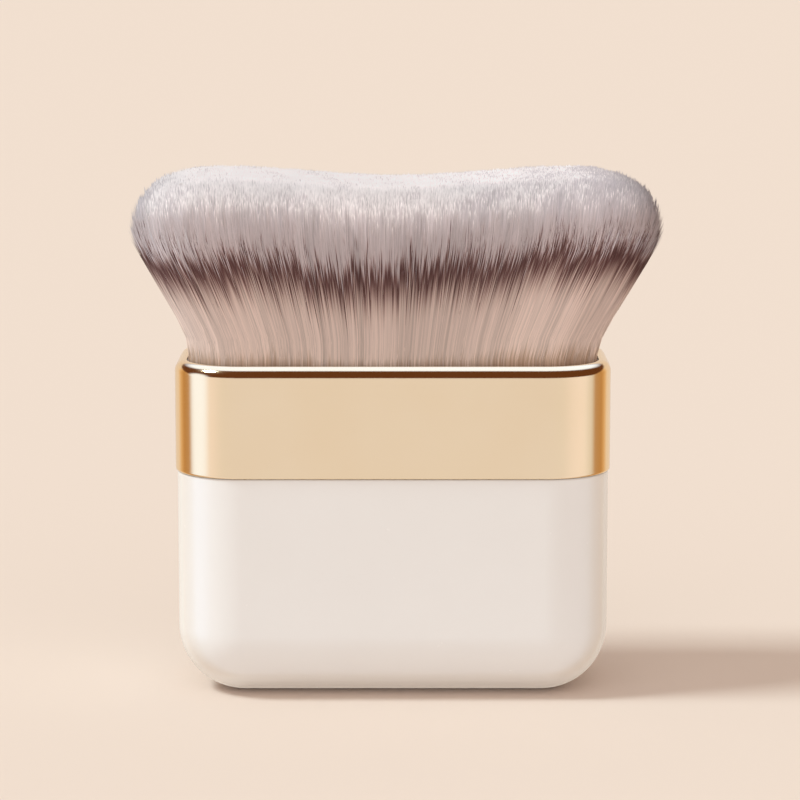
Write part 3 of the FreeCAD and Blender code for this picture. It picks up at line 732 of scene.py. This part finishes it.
def soft_sun(name, towards, colour, strength, angle):
    """A wide even light from one way."""
    data = bpy.data.lights.new(name, "SUN")
    data.energy = strength
    data.color = colour
    data.angle = math.radians(angle)
    lamp = bpy.data.objects.new(name, data)
    lamp.rotation_mode = "QUATERNION"
    lamp.rotation_quaternion = towards.to_track_quat("Z", "Y")
    scene.collection.objects.link(lamp)
    return lamp


soft_sun("key", KEY_FROM, KEY_COLOUR, KEY_STRENGTH, KEY_ANGLE)
fill = soft_sun("fill", FILL_FROM, FILL_COLOUR, FILL_STRENGTH, FILL_ANGLE)
fill.visible_glossy = False

world = bpy.data.worlds.new("studio")
scene.world = world
world.use_nodes = True
tree = world.node_tree
tree.nodes.clear()
out = tree.nodes.new("ShaderNodeOutputWorld")
way, split, level_way, norm, part, frontness, round_ramp = new_nodes(
    tree, way="TexCoord", split="SeparateXYZ", level_way="CombineXYZ", norm="VectorMath", part="SeparateXYZ",
    frontness="Math", round_ramp="ValToRGB")
behind, above, lift, seen = new_nodes(tree, behind="Math", above="Math", lift="MapRange", seen="Mix")
ray, room_light, mirrored, backdrop, pick_gloss, pick_camera = new_nodes(
    tree, ray="LightPath", room_light="Background", mirrored="Background", backdrop="Background",
    pick_gloss="MixShader", pick_camera="MixShader")
norm.operation = "NORMALIZE"
frontness.operation = "MULTIPLY_ADD"
frontness.inputs[1].default_value = -0.5
frontness.inputs[2].default_value = 0.5
set_ramp(round_ramp.color_ramp, ROUND_STOPS, -1, 1)
behind.operation = "MAXIMUM"
behind.inputs[1].default_value = 0.0
above.operation = "MULTIPLY_ADD"
above.inputs[1].default_value = -BACKDROP_RISE
lift.inputs["From Min"].default_value = 0.0
lift.inputs["From Max"].default_value = CEILING_BLUR
seen.data_type = "RGBA"
seen.inputs["B"].default_value = (*CEILING_COLOUR, 1)
room_light.inputs["Color"].default_value = (*ROOM_COLOUR, 1)
backdrop.inputs["Color"].default_value = (*BACKGROUND, 1)
links = tree.links
links.new(way.outputs["Generated"], split.inputs["Vector"])
links.new(split.outputs["X"], level_way.inputs["X"])
links.new(split.outputs["Y"], level_way.inputs["Y"])
links.new(level_way.outputs["Vector"], norm.inputs[0])
links.new(norm.outputs["Vector"], part.inputs["Vector"])
links.new(part.outputs["Y"], frontness.inputs[0])
links.new(frontness.outputs["Value"], round_ramp.inputs["Fac"])
links.new(split.outputs["Y"], behind.inputs[0])
links.new(behind.outputs["Value"], above.inputs[0])
links.new(split.outputs["Z"], above.inputs[2])
links.new(above.outputs["Value"], lift.inputs["Value"])
links.new(lift.outputs["Result"], seen.inputs["Factor"])
links.new(round_ramp.outputs["Color"], seen.inputs["A"])
reflected = seen
for box_way, edge, full, colour in (SIDE_BOX, TOP_BOX):
    towards_box, box_share, with_box = new_nodes(
        tree, towards_box="VectorMath", box_share="MapRange", with_box="Mix")
    towards_box.operation = "DOT_PRODUCT"
    towards_box.inputs[1].default_value = box_way
    box_share.interpolation_type = "SMOOTHSTEP"
    box_share.inputs["From Min"].default_value = edge
    box_share.inputs["From Max"].default_value = full
    with_box.data_type = "RGBA"
    with_box.inputs["B"].default_value = (*colour, 1)
    links.new(way.outputs["Generated"], towards_box.inputs[0])
    links.new(towards_box.outputs["Value"], box_share.inputs["Value"])
    links.new(box_share.outputs["Result"], with_box.inputs["Factor"])
    links.new(reflected.outputs["Result"], with_box.inputs["A"])
    reflected = with_box
links.new(reflected.outputs["Result"], mirrored.inputs["Color"])
links.new(ray.outputs["Is Glossy Ray"], pick_gloss.inputs["Fac"])
links.new(room_light.outputs["Background"], pick_gloss.inputs[1])
links.new(mirrored.outputs["Background"], pick_gloss.inputs[2])
links.new(ray.outputs["Is Camera Ray"], pick_camera.inputs["Fac"])
links.new(pick_gloss.outputs["Shader"], pick_camera.inputs[1])
links.new(backdrop.outputs["Background"], pick_camera.inputs[2])
links.new(pick_camera.outputs["Shader"], out.inputs["Surface"])

# Camera: a long lens a little above the brush, square on to its front.
# It stands far enough away that the brush shows almost without perspective.
CAMERA_AT = Vector((1.0, -444.9, 107.3)) * MM
CAMERA_TILT = 81.39
CAMERA_LENS = 143.7
CAMERA_NEAR = 0.01
camera_data = bpy.data.cameras.new("camera")
camera_data.lens = CAMERA_LENS
camera_data.clip_start = CAMERA_NEAR
camera = bpy.data.objects.new("camera", camera_data)
camera.location = CAMERA_AT
camera.rotation_euler = (math.radians(CAMERA_TILT), 0, 0)
scene.collection.objects.link(camera)
scene.camera = camera
scene.view_settings.view_transform = "Standard"
